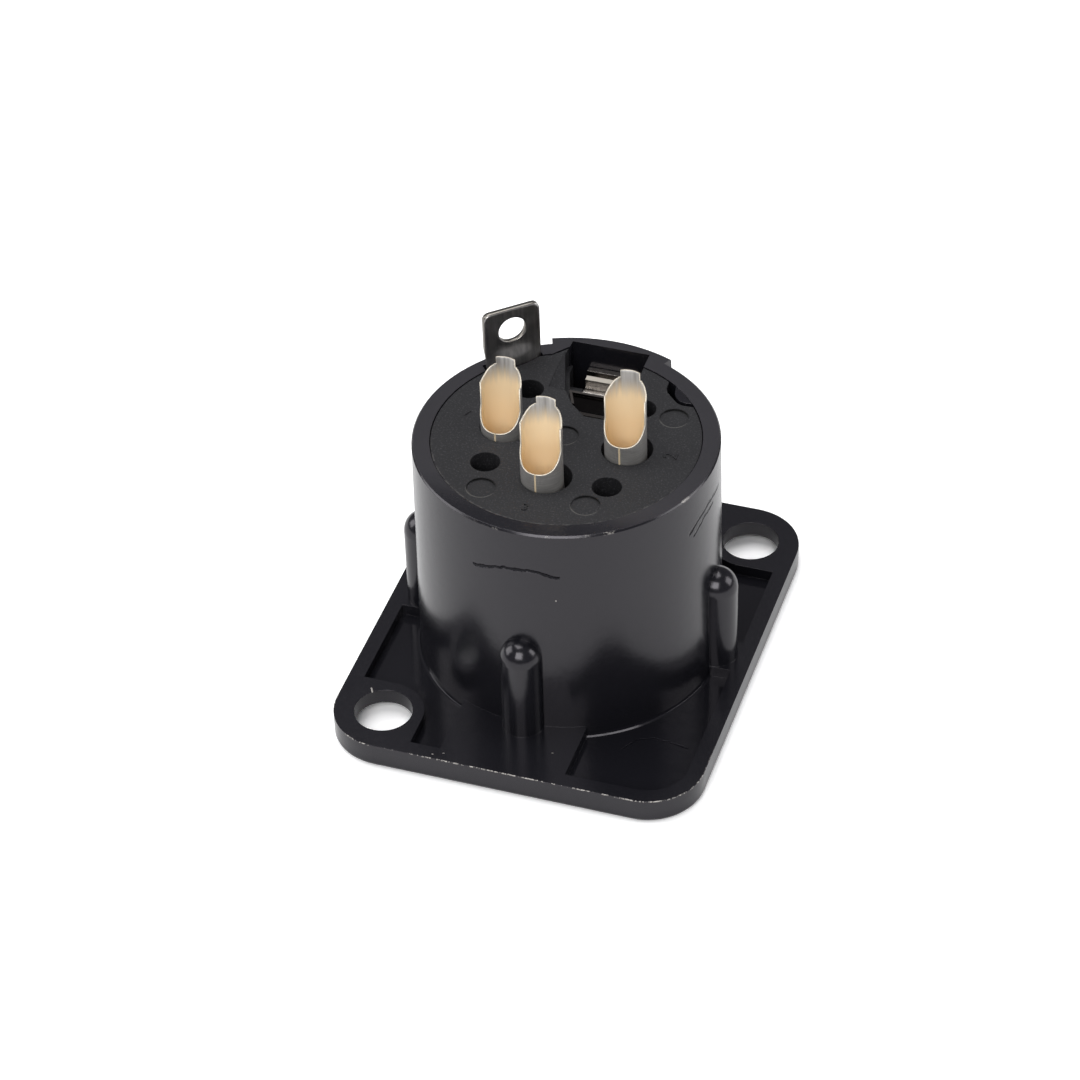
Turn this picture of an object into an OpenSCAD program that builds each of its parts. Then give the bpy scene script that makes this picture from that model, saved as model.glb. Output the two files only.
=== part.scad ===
// Three-pole panel socket: a die-cast flange and barrel, a moulded insert pushed in from the
// rear, three rolled contacts with solder cups, a ground lug and a sprung release latch.
// The origin is on the barrel's axis at the flange's front face, +Z points to the rear
// (solder) side and +Y to the latch.

/* [Flange] */
// Width of the flange across X
flange_w = 26; // [25.5:0.1:28]
// Length of the flange along Y
flange_l = 31; // [30.8:0.1:34]
// Thickness of the flange at its rim
flange_t = 1.9; // [1.8:0.05:2.6]
// Radius of the flange's corners
corner_r = 3.9; // [3.2:0.1:4.6]
// Radius of the rounded front edge
front_edge_r = 0.4; // [0.2:0.05:0.6]
// Width of the raised rim round the back
rim_w = 1.1; // [0.9:0.05:1.3]
// Depth of the four cast pockets in the back
pocket_d = 0.85; // [0.4:0.05:0.95]
// Distance of the screw holes from the flange's edges
hole_inset = 3.5; // [3.3:0.05:3.7]
// Diameter of the screw holes
hole_d = 4; // [3.2:0.1:4.2]
// Diameter of the countersinks at the front face
sink_d = 5.6; // [5:0.1:6]
// Radius of the thick boss round each screw hole
boss_r = 2.8; // [2.6:0.05:3]
// Half width of the near platform, left of the axis
platform_left = 4.6; // [4:0.1:5]
// Half width of the near platform, right of the axis
platform_right = 4.2; // [3.6:0.1:4.6]
// Half width of the platforms under the side posts
side_platform = 1.47; // [1.44:0.01:2]

/* [Barrel] */
// Height of the rear rim above the front face
barrel_h = 18.55; // [18:0.05:20]
// Outer diameter at the rear rim
barrel_d = 20.62; // [20.4:0.02:21]
// Growth of the radius from the rear rim to the flange, the casting's draft
barrel_draft = 0.15; // [0.05:0.01:0.25]
// Radius of the fillet between barrel and flange
foot_r = 0.2; // [0.1:0.05:0.3]
// Bore for the plug's shell
bore_d = 19.1; // [19:0.02:19.2]
// Depth of that bore, from the front face to the seat ring
bore_depth = 13; // [12:0.1:13.5]
// Bore for the insert, open to the rear
rear_bore_d = 18.2; // [18.1:0.02:18.3]
// Opening in the seat ring that carries the insert
seat_d = 16.5; // [16.2:0.1:17]
// Thickness of the seat ring
seat_t = 1; // [0.8:0.05:1.3]
// Radius of the round posts on the barrel
post_r = 1.43; // [1.3:0.01:1.43]
// Distance from the axis to the outer face of the posts
post_reach = 11.92; // [11.8:0.02:12]
// Height of the domed posts above the front face
post_h = 9.4; // [8:0.1:12]
// Radius of the thickening over the latch, at the rear rim
hump_top_r = 10.93; // [10.85:0.01:11]
// Radius of the thickening over the latch, at the flange
hump_foot_r = 11.9; // [11.8:0.02:12]
// Half angle of the thickening
hump_half = 23; // [22:0.5:25]

/* [Insert] */
// Clearance between the insert and the barrel
insert_gap = 0.05; // [0.03:0.01:0.08]
// Step of the insert's rear face below the rim
insert_drop = 0.08; // [0.02:0.02:0.3]
// Diameter of the nose that enters the plug
nose_d = 15.4; // [15:0.1:15.7]
// Step of the nose behind the front face
nose_drop = 0.8; // [0.4:0.1:1.6]
// Diameter of the blind core holes in the rear face
core_d = 2; // [1.7:0.05:2.2]
// Depth of the core holes
core_depth = 4; // [3:0.5:4]
// Distance of the core holes from the axis
core_r = 5.85; // [5.8:0.05:5.95]
// Diameter of the ejector marks
ejector_d = 1.95; // [1.6:0.05:2.1]
// Depth of the ejector marks
ejector_t = 0.12; // [0.06:0.02:0.2]
// Near end of the latch slot, from the axis
slot_near = 2.5; // [2.4:0.05:2.7]
// Half width of the latch slot
slot_half = 2.75; // [2.7:0.01:2.85]
// Width of the keyway along the nose
key_w = 2.4; // [2:0.1:3]
// Depth of the keyway
key_depth = 0.8; // [0.4:0.1:1]

/* [Contacts] */
// Distance of the contacts from the axis
contact_pcr = 4.25; // [4.2:0.01:4.3]
// Bore for the plug's pins
pin_bore_d = 2.44; // [2.42:0.01:2.5]
// Outer diameter of the gripping end
grip_d = 3.2; // [3:0.05:3.3]
// Length of the gripping end
grip_l = 9.2; // [7:0.1:10]
// Outer diameter of the rolled solder cup
cup_d = 2.84; // [2.7:0.02:2.9]
// Thickness of the contacts' sheet
sheet_t = 0.25; // [0.2:0.01:0.3]
// Bore of the pinched neck between the gripping end and the cup
neck_d = 1.8; // [1.4:0.05:2]
// Height of the cups' tips above the front face
cup_top = 24.2; // [23.5:0.05:25]
// Height of the lowest point of the cups' mouths
cup_mouth = 19.8; // [19.4:0.05:20.2]
// Step by which contact 1 leads towards the plug
lead_in = 0.85; // [0:0.05:1]
// Width of the tongue on each tip
tongue_w = 1.35; // [1:0.05:1.6]
// Width of the seam and of the slits in the gripping end
seam_w = 0.08; // [0.06:0.01:0.12]
// Diameter of the cavities that hold the contacts
cavity_d = 3.46; // [3.4:0.02:3.5]

/* [Ground lug] */
// Direction of the lug, from +X towards +Y
lug_angle = 131.3; // [128:0.1:133]
// Distance of the lug's inner face from the axis
lug_r = 9; // [8.95:0.01:9.1]
// Width of the lug
lug_w = 4.06; // [3.8:0.02:4.2]
// Thickness of the lug
lug_t = 0.4; // [0.3:0.02:0.5]
// Height of the lug's tip above the front face
lug_top = 22.95; // [22:0.05:24]
// Diameter of the wire hole
wire_hole_d = 2; // [1.6:0.05:2.2]
// Distance of the wire hole's centre below the tip
wire_hole_drop = 1.7; // [1.5:0.05:2]
// Inward bow of the lug's foot
lug_bow = 0.45; // [0.2:0.05:0.5]
// Radius of the tip's corners
lug_corner_r = 0.45; // [0.3:0.05:0.8]

/* [Latch] */
// Thickness of the lever's sheet
lever_t = 0.45; // [0.35:0.01:0.5]
// Half width of the lever's arm
arm_half = 1.6; // [1.4:0.05:2]
// Distance of the hinge from the axis
hinge_y = 7.4; // [7.3:0.02:7.5]
// Height of the hinge above the front face
hinge_z = 15.6; // [15.5:0.02:15.7]
// Diameter of the hinge pin
hinge_d = 1; // [0.8:0.02:1.1]
// Running clearance between pin and lever, on the radius
hinge_gap = 0.03; // [0.02:0.01:0.06]
// Half length of the hinge pin
hinge_half = 3.5; // [3.3:0.05:3.6]
// Swing of the lever from locked to released, in degrees
swing = 3.4; // [2.5:0.1:3.6]
// Depth of the tooth below the arm
tooth_h = 0.58; // [0.4:0.02:0.62]
// Height of the tooth's locking face above the front face
tooth_z = 5.2; // [4.5:0.1:6.5]
// Half width of the tooth
tooth_half = 1.1; // [0.8:0.05:1.3]
// Half width of the release pad
pad_half = 3.2; // [2.8:0.1:3.4]
// Outer edge of the release pad, from the axis
pad_y = 13; // [12.5:0.1:13.1]
// Thickness of the release pad
pad_t = 0.8; // [0.6:0.05:0.85]
// Step of the pad behind the front face
pad_drop = 0.15; // [0.1:0.02:0.2]
// Thickness of the leaf spring
leaf_t = 0.2; // [0.15:0.01:0.25]

/* [Hidden] */

round_fn = 72;
small_fn = 40;
// Overrun of a cut past the face that it opens
cut = 0.1;

// Flange and barrel
floor_z = flange_t - pocket_d;
hole_x = flange_w / 2 - hole_inset;
hole_y = flange_l / 2 - hole_inset;
barrel_r = barrel_d / 2;
barrel_foot_r = barrel_r + barrel_draft;
bore_r = bore_d / 2;
rear_bore_r = rear_bore_d / 2;
seat_z = bore_depth + seat_t;
rim_edge = 0.12;
mouth_edge = 0.35;
post_at = post_reach - post_r;

// Latch, locked
arm_y = bore_r;
arm_out = arm_y + lever_t;
wall_gap = 0.05;
slack = 0.2;
channel_y = arm_out + wall_gap;
channel_bend_z = hinge_z - 0.1;
// The channel opens towards the flange a little faster than the arm swings
channel_slope = tan(swing) + 0.01;
knuckle_r = hinge_d / 2 + hinge_gap + lever_t;
knuckle_left = -1.2;
knuckle_right = 1.6;
arm_top = 16.6;
// Lip that stands up on the knuckle, its offset from the hinge and its height
lip_y = 0.47;
lip_top = 17.2;
side_gap = 0.12;
// Heel of the lever, over the leaf spring
heel_x = [0.7, 1.5];
heel_y = 4.7;
pad_travel = (hinge_z - pad_drop) * sin(swing);
pad_dive = (pad_y - hinge_y) * sin(swing) + hinge_z * (1 - cos(swing));
window_half = pad_half + slack + side_gap;
window_y = pad_y + pad_travel + slack;
window_depth = pad_drop + pad_t + pad_dive + side_gap;

// Insert
insert_r = rear_bore_r - insert_gap;
face_z = barrel_h - insert_drop;
nose_r = nose_d / 2;
cavity_floor = 2.4;
entry_d = pin_bore_d + 0.4;
entry_sink_d = entry_d + 0.9;
ledge_z = 16.95;
ledge_w = 0.3;
// Rear face features, measured on the object
core_angles = [133, 222, 315, 48];
ejectors = [[-3.77, -6.5], [3.35, -6.3], [6.3, 4], [-0.2, 0.2]];
// Left wall of the latch slot, from its near end to the barrel
slot_left = [[0.45, slot_near], [-0.72, 3.53], [-1.69, 5], [-2.85, 8.61]];
// Wedge-shaped relief beside that wall
wedge = [[-2.98, 8.75], [-2.83, 4.92], [-1.2, 4.72], [-1.2, 6], [-2.6, 8.75]];
wedge_tilt = 24;
// Corners of the insert's ear, beside the slot's left wall
ear = [[-3.75, 8.2], [-3.35, 8.71], [-slot_half, 9.43]];

// Key in the barrel that stops the insert from turning, and its notch, as angles and radii
key_points = [[54.2, 9.25], [51.5, 8.85], [49.5, 8.6], [47.5, 8.48], [44, 8.45], [42, 8.6], [40.5, 8.9],
              [38.8, 9.25]];
notch_points = [[58.2, 9.2], [56, 8.7], [54.5, 8.45], [52, 8.26], [47.5, 8.2], [43, 8.22], [40.2, 8.42],
                [38.2, 8.85], [36.6, 9.2], [47.4, 10]];

// Lug and its notch
lug_notch_r = 8.2;
lug_half = lug_w / 2;
lug_side_gap = 0.08;
bow_top = face_z + 0.25;
bow_end = bow_top + 1.5;

function smooth(t) = t * t * (3 - 2 * t);
// Plan position of an angle and radius
function polar(p) = [p[1] * cos(p[0]), p[1] * sin(p[0])];
// Inner face of the lug at side position s, bowed towards the axis by b
function lug_face(s, b) = lug_r - b * (1 - pow(s / lug_half, 2));
function bow_at(z) = z <= bow_top ? lug_bow : lug_bow * (1 - smooth((z - bow_top) / (bow_end - bow_top)));

// A rectangle with round corners, centred
module round_rect(w, l, r) {
    square([w - 2 * r, l], center = true);
    square([w, l - 2 * r], center = true);
    for (sx = [-1, 1])
        for (sy = [-1, 1])
            translate([sx * (w / 2 - r), sy * (l / 2 - r)])
                circle(r, $fn = round_fn);
}

// Half of a plate's section, with its lower outer corner rounded
module edge_profile(half, t, e) {
    square([half - e, t]);
    translate([0, e])
        square([half, t - e]);
    translate([half - e, e])
        circle(e, $fn = small_fn);
}

// A plate with round corners and a rounded front edge
module round_plate(w, l, t, r, e) {
    for (sx = [-1, 1])
        for (sy = [-1, 1])
            translate([sx * (w / 2 - r), sy * (l / 2 - r), 0])
                rotate_extrude($fn = round_fn)
                    edge_profile(r, t, e);
    for (turn = [0, 180]) {
        rotate([0, 0, turn])
            translate([0, l / 2 - r, 0])
                rotate([90, 0, 0])
                    linear_extrude(l - 2 * r)
                        edge_profile(w / 2, t, e);
        rotate([0, 0, turn + 90])
            translate([0, w / 2 - r, 0])
                rotate([90, 0, 0])
                    linear_extrude(w - 2 * r)
                        edge_profile(l / 2, t, e);
    }
}

// Outline of the thick region round one screw hole, open to its corner
module hole_boss_outline(sx, sy) {
    cx = sx * hole_x;
    cy = sy * hole_y;
    translate([cx, cy])
        circle(boss_r, $fn = round_fn);
    translate([sx > 0 ? cx : cx - flange_w / 2, sy > 0 ? cy - boss_r : cy - flange_l / 2])
        square([flange_w / 2, boss_r + flange_l / 2]);
    translate([sx > 0 ? cx - boss_r : cx - flange_w / 2, sy > 0 ? cy : cy - flange_l / 2])
        square([boss_r + flange_w / 2, flange_l / 2]);
}

// Outline of the four cast pockets in the flange's back
module pocket_outline() {
    difference() {
        round_rect(flange_w - 2 * rim_w, flange_l - 2 * rim_w, corner_r - rim_w);
        circle(bore_r + foot_r, $fn = round_fn);
        hole_boss_outline(-1, -1);
        hole_boss_outline(1, 1);
        square([flange_w, 2 * side_platform], center = true);
        translate([-platform_left, -flange_l])
            square([platform_left + platform_right, flange_l]);
        translate([-window_half - rim_w, 0])
            square([2 * (window_half + rim_w), flange_l]);
    }
}

// Barrel wall with its draft, its rounded rim and the fillet at the flange
module barrel_wall() {
    rotate_extrude($fn = 2 * round_fn)
        polygon([
            [bore_r - cut, floor_z - cut], [barrel_foot_r + foot_r, floor_z - cut],
            [barrel_foot_r + foot_r, floor_z], [barrel_foot_r + foot_r * 0.3, floor_z + foot_r * 0.3],
            [barrel_foot_r, floor_z + foot_r], [barrel_r, barrel_h - rim_edge],
            [barrel_r - rim_edge, barrel_h], [rear_bore_r, barrel_h],
            [rear_bore_r, seat_z], [seat_d / 2, seat_z], [seat_d / 2, bore_depth],
            [bore_r - cut, bore_depth]
        ]);
}

// Thickening over the latch, a sector of a cone with sloping ends
module hump() {
    rotate([0, 0, 90 - hump_half])
        rotate_extrude(angle = 2 * hump_half, $fn = 2 * round_fn)
            polygon([
                [bore_r + cut, floor_z - cut], [hump_foot_r, floor_z - cut],
                [hump_top_r, barrel_h - rim_edge], [hump_top_r - rim_edge, barrel_h],
                [bore_r + cut, barrel_h]
            ]);
}

// Half-round post with a domed top, on the barrel's side
module post(turn) {
    rotate([0, 0, turn])
        translate([post_at, 0, 0]) {
            translate([0, 0, floor_z])
                cylinder(h = post_h - post_r - floor_z, r = post_r, $fn = round_fn);
            translate([0, 0, post_h - post_r])
                sphere(post_r, $fn = round_fn);
        }
}

// Plan of the barrel's recess for the insert's ear, grown by g
module ear_outline(g) {
    inner = ear[2][0] + slack;
    polygon([
        ear[0], [ear[1][0] - g, ear[1][1] + g], [ear[2][0] - g, ear[2][1] + g],
        [inner, ear[2][1] + g], [inner, ear[0][1] - slack]
    ]);
}

// Side view of the channel that the latch arm swings in
module latch_channel() {
    drop = channel_bend_z + cut;
    translate([-slot_half, 0, 0])
        rotate([90, 0, 90])
            linear_extrude(2 * slot_half)
                polygon([
                    [nose_r + slack, -cut], [channel_y + drop * channel_slope, -cut],
                    [channel_y, channel_bend_z], [channel_y, barrel_h + cut],
                    [nose_r + slack, barrel_h + cut]
                ]);
}

// Key that stops the insert from turning
module barrel_key() {
    translate([0, 0, seat_z - cut])
        linear_extrude(face_z - seat_z + cut)
            polygon([for (p = key_points) polar(p)]);
}

module housing() {
    color("#1d1d1f")
        union() {
            barrel_key();
            casting();
        }
}

// The casting without its key
module casting() {
    difference() {
        union() {
            difference() {
                round_plate(flange_w, flange_l, flange_t, corner_r, front_edge_r);
                translate([0, 0, floor_z])
                    linear_extrude(pocket_d + cut)
                        pocket_outline();
            }
            barrel_wall();
            hump();
            for (turn = [0, 180, 270])
                post(turn);
        }
        // Bore for the plug's shell, with its rounded mouth
        translate([0, 0, -cut])
            cylinder(h = bore_depth + cut, r = bore_r, $fn = 2 * round_fn);
        translate([0, 0, -cut])
            cylinder(h = mouth_edge + cut, r1 = bore_r + mouth_edge + cut, r2 = bore_r, $fn = 2 * round_fn);
        // Screw holes, countersunk from the front
        for (side = [-1, 1])
            translate([side * hole_x, side * hole_y, 0]) {
                translate([0, 0, -cut])
                    cylinder(h = flange_t + 2 * cut, d = hole_d, $fn = round_fn);
                translate([0, 0, -cut])
                    cylinder(h = (sink_d - hole_d) / 2 + cut, d1 = sink_d + 2 * cut, d2 = hole_d, $fn = round_fn);
            }
        // Latch: its channel, the recess for the insert's ear and the window for the pad
        latch_channel();
        translate([0, 0, seat_z])
            linear_extrude(barrel_h)
                ear_outline(0);
        translate([-window_half, nose_r + slack, -cut])
            cube([2 * window_half, window_y - nose_r - slack, window_depth + cut]);
        // Notch in the rim for the ground lug
        rotate([0, 0, lug_angle])
            translate([lug_notch_r, -lug_half - lug_side_gap, seat_z])
                cube([lug_r + lug_t + lug_side_gap - lug_notch_r, lug_w + 2 * lug_side_gap, barrel_h]);
    }
}

// Outline of the latch slot, its walls moved in by g
module slot_outline(g) {
    polygon([
        [slot_left[0][0] + g, slot_left[0][1] + g], [slot_left[1][0] + g, slot_left[1][1] + g / 2],
        [slot_left[2][0] + g, slot_left[2][1]], [slot_left[3][0] + g, slot_left[3][1]],
        [-slot_half + g, channel_y + cut], [slot_half, channel_y + cut],
        [slot_half, slot_left[0][1] + g]
    ]);
}

// Cheeks in the slot that carry the hinge pin
module hinge_cheeks() {
    cheek_r = knuckle_r - side_gap;
    for (span = [[slot_left[3][0] - cut, knuckle_left - side_gap], [knuckle_right + side_gap, slot_half + cut]])
        translate([span[0], hinge_y, 0]) {
            translate([0, 0, hinge_z])
                rotate([0, 90, 0])
                    cylinder(h = span[1] - span[0], r = cheek_r, $fn = small_fn);
            translate([0, -cheek_r, seat_z])
                cube([span[1] - span[0], 2 * cheek_r, hinge_z - seat_z]);
        }
}

// Place one contact's axis, numbered as on the object: 1 left, 2 right, 3 below
module at_contact(n) {
    turn = [180, 0, 270][n - 1];
    translate([contact_pcr * cos(turn), contact_pcr * sin(turn), 0])
        children();
}

// Contact cavities, with countersunk entries for the pins
module contact_cavities() {
    for (n = [1, 2, 3])
        at_contact(n) {
            translate([0, 0, n == 1 ? cavity_floor - lead_in : cavity_floor])
                cylinder(h = barrel_h, d = cavity_d, $fn = round_fn);
            cylinder(h = barrel_h, d = entry_d, $fn = round_fn);
            translate([0, 0, nose_drop - cut])
                cylinder(h = (entry_sink_d - entry_d) / 2 + cut, d1 = entry_sink_d + 2 * cut,
                         d2 = entry_d, $fn = round_fn);
        }
}

// Front half of the insert, which enters the plug
module nose() {
    color("#232325")
    difference() {
        translate([0, 0, nose_drop])
            rotate_extrude($fn = 2 * round_fn)
                edge_profile(nose_r, seat_z - nose_drop, front_edge_r);
        contact_cavities();
        // Keyway along the nose
        translate([-key_w / 2, nose_r - key_depth, -cut])
            cube([key_w, key_depth + cut, seat_z + 2 * cut]);
    }
}

module insert() {
    color("#232325")
    difference() {
        union() {
            // Rear disc with its ear
            translate([0, 0, seat_z])
                cylinder(h = face_z - seat_z, r = insert_r, $fn = 2 * round_fn);
            translate([0, 0, seat_z])
                linear_extrude(face_z - seat_z)
                    ear_outline(-insert_gap);
        }
        difference() {
            union() {
                translate([0, 0, ledge_z])
                    linear_extrude(barrel_h)
                        slot_outline(0);
                translate([0, 0, seat_z - cut])
                    linear_extrude(barrel_h)
                        slot_outline(ledge_w);
            }
            hinge_cheeks();
        }
        // Sloping relief beside the slot
        translate([wedge[0][0], 0, face_z])
            rotate([0, wedge_tilt, 0])
                translate([-wedge[0][0], 0, 0])
                    linear_extrude(barrel_h)
                        polygon(wedge);
        // Hole for the hinge pin, entered from the left
        translate([-insert_r, hinge_y, hinge_z])
            rotate([0, 90, 0])
                cylinder(h = insert_r + hinge_half, d = hinge_d, $fn = small_fn);
        contact_cavities();
        // Blind core holes and ejector marks in the rear face
        for (a = core_angles)
            translate([core_r * cos(a), core_r * sin(a), face_z - core_depth])
                cylinder(h = core_depth + cut, d = core_d, $fn = small_fn);
        for (p = ejectors)
            translate([p[0], p[1], face_z - ejector_t])
                cylinder(h = ejector_t + cut, d = ejector_d, $fn = small_fn);
        // Notch for the barrel's key
        translate([0, 0, seat_z - cut])
            linear_extrude(barrel_h)
                polygon([for (p = notch_points) polar(p)]);
        // Relief for the lug's bowed foot
        translate([0, 0, seat_z - cut])
            rotate([0, 0, lug_angle])
                linear_extrude(barrel_h)
                    lug_relief();
    }
}

// Plan of the space that the lug's foot takes out of the insert
module lug_relief() {
    half = lug_half + lug_side_gap;
    n = 12;
    polygon(concat(
        [for (i = [0 : n]) let (s = -half + 2 * half * i / n) [lug_face(s, lug_bow) - insert_gap, s]],
        [[barrel_r, half], [barrel_r, -half]]
    ));
}

// One rolled contact on its own axis: gripping end, neck and solder cup
module contact() {
    cup_r = cup_d / 2;
    grip_r = grip_d / 2;
    z0 = cavity_floor;
    neck_z = z0 + grip_l;
    // The neck is pinched over this length, with cones this long at its ends
    pinch = 2.4;
    cone = 0.4;
    top = cup_top;
    mouth = cup_mouth;
    shoulder = top - 1.35;
    tip = top - 0.5;
    color("#c9c8c4")
    difference() {
        rotate_extrude($fn = round_fn)
            polygon([
                [pin_bore_d / 2, z0], [grip_r - 0.05, z0], [grip_r, z0 + 0.2], [grip_r, neck_z],
                [neck_d / 2 + sheet_t, neck_z + cone], [neck_d / 2 + sheet_t, neck_z + cone + pinch],
                [cup_r, neck_z + 2 * cone + pinch], [cup_r, top], [cup_r - sheet_t, top],
                [cup_r - sheet_t, neck_z + 2 * cone + pinch], [neck_d / 2, neck_z + cone + pinch],
                [neck_d / 2, neck_z + cone], [pin_bore_d / 2, neck_z]
            ]);
        // Mouth of the cup, scooped out of its near side
        rotate([90, 0, 90])
            linear_extrude(cup_d, center = true)
                polygon([
                    [-cup_r - cut, mouth - cut], [-cup_r * 0.85, mouth + 0.05], [-cup_r * 0.45, mouth + 0.5],
                    [-cup_r * 0.12, mouth + 1.1], [-cup_r * 0.05, mouth + 1.6],
                    [-cup_r * 0.05, top + cut], [-cup_r - cut, top + cut]
                ]);
        // Sloping shoulders that leave a narrow tongue at the tip
        for (side = [0, 1])
            mirror([side, 0, 0])
                rotate([90, 0, 0])
                    linear_extrude(2 * cup_d, center = true)
                        polygon([
                            [cup_r + cut, shoulder - cut], [cup_r + cut, top + cut], [tongue_w / 2, top + cut],
                            [tongue_w / 2, tip], [tongue_w / 2 + 0.15, tip - 0.12], [cup_r, shoulder]
                        ]);
        // Rolled seam along the near side
        translate([-seam_w / 2, -cup_d, z0 - cut])
            cube([seam_w, cup_d, top]);
        // Slits that let the gripping end open
        translate([-cup_d, -seam_w, z0 - cut])
            cube([2 * cup_d, 2 * seam_w, grip_l * 0.7]);
    }
}

module contact_1() {
    at_contact(1)
        translate([0, 0, -lead_in])
            contact();
}

module contact_2() {
    at_contact(2)
        contact();
}

module contact_3() {
    at_contact(3)
        contact();
}

// Bowed foot of the lug, swept from the seat ring up to its flat part
module lug_foot() {
    n = 10;
    levels = concat([seat_z, bow_top], [for (k = [1 : 6]) bow_top + (bow_end - bow_top) * k / 6]);
    rings = [for (z = levels) concat(
        [for (i = [0 : n]) let (s = -lug_half + lug_w * i / n) [lug_face(s, bow_at(z)), s, z]],
        [for (i = [n : -1 : 0]) let (s = -lug_half + lug_w * i / n) [lug_face(s, bow_at(z)) + lug_t, s, z]]
    )];
    m = 2 * (n + 1);
    top = len(levels) - 1;
    polyhedron(
        points = [for (ring = rings) each ring],
        faces = concat(
            [for (k = [0 : top - 1]) for (i = [0 : m - 1]) let (j = (i + 1) % m)
                [k * m + i, (k + 1) * m + j, (k + 1) * m + i]],
            [for (k = [0 : top - 1]) for (i = [0 : m - 1]) let (j = (i + 1) % m)
                [k * m + i, k * m + j, (k + 1) * m + j]],
            [for (i = [0 : n - 1]) [i, m - 2 - i, i + 1]],
            [for (i = [0 : n - 1]) [i, m - 1 - i, m - 2 - i]],
            [for (i = [0 : n - 1]) [top * m + i, top * m + i + 1, top * m + m - 2 - i]],
            [for (i = [0 : n - 1]) [top * m + i, top * m + m - 2 - i, top * m + m - 1 - i]]
        )
    );
}

module ground_lug() {
    color("#b9b9b6")
    rotate([0, 0, lug_angle])
        difference() {
            union() {
                lug_foot();
                translate([lug_r, 0, 0])
                    rotate([90, 0, 90])
                        linear_extrude(lug_t)
                            union() {
                                translate([-lug_half, bow_end])
                                    square([lug_w, lug_top - lug_corner_r - bow_end]);
                                translate([-lug_half + lug_corner_r, bow_end])
                                    square([lug_w - 2 * lug_corner_r, lug_top - bow_end]);
                                for (side = [-1, 1])
                                    translate([side * (lug_half - lug_corner_r), lug_top - lug_corner_r])
                                        circle(lug_corner_r, $fn = small_fn);
                            }
            }
            translate([lug_r - cut, 0, lug_top - wire_hole_drop])
                rotate([0, 90, 0])
                    cylinder(h = lug_t + 2 * cut, d = wire_hole_d, $fn = small_fn);
        }
}

module latch_lever() {
    web_z = hinge_z - knuckle_r;
    color("#a9a9a6") {
        difference() {
            union() {
                // Arm along the plug's shell
                translate([-arm_half, arm_y, pad_drop])
                    cube([2 * arm_half, lever_t, arm_top - pad_drop]);
                // Web from the arm to the hinge, and the knuckle curled round the pin
                translate([knuckle_left, hinge_y, web_z])
                    cube([knuckle_right - knuckle_left, arm_y + lever_t - hinge_y, lever_t]);
                translate([knuckle_left, hinge_y, hinge_z])
                    rotate([0, 90, 0])
                        cylinder(h = knuckle_right - knuckle_left, r = knuckle_r, $fn = small_fn);
                // Lip that the strip's end makes above the knuckle
                translate([knuckle_left, hinge_y + lip_y, hinge_z])
                    cube([knuckle_right - knuckle_left, lever_t, lip_top - hinge_z]);
                // Heel that the leaf spring lifts
                translate([heel_x[0], heel_y, web_z])
                    cube([heel_x[1] - heel_x[0], hinge_y - heel_y, lever_t]);
                // Release pad with three grip ridges
                translate([-pad_half, arm_y, pad_drop])
                    cube([2 * pad_half, pad_y - arm_y, pad_t]);
                for (k = [1 : 3])
                    translate([-pad_half + slack, pad_y - k * 0.8, pad_drop])
                        rotate([0, 90, 0])
                            cylinder(h = 2 * (pad_half - slack), r = pad_drop * 0.8, $fn = small_fn);
                // Tooth, sloped towards the plug and square behind
                translate([-tooth_half, 0, 0])
                    rotate([90, 0, 90])
                        linear_extrude(2 * tooth_half)
                            polygon([
                                [arm_y + cut, tooth_z - 2 * tooth_h - cut], [arm_y, tooth_z - 2 * tooth_h],
                                [arm_y - tooth_h, tooth_z - 0.5], [arm_y - tooth_h, tooth_z],
                                [arm_y + cut, tooth_z]
                            ]);
            }
            translate([knuckle_left - cut, hinge_y, hinge_z])
                rotate([0, 90, 0])
                    cylinder(h = knuckle_right - knuckle_left + 2 * cut, r = hinge_d / 2 + hinge_gap,
                             $fn = small_fn);
        }
    }
}

module hinge_pin() {
    color("#c4c4c2")
    translate([-hinge_half, hinge_y, hinge_z])
        rotate([0, 90, 0])
            cylinder(h = 2 * hinge_half, d = hinge_d, $fn = small_fn);
}

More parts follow.
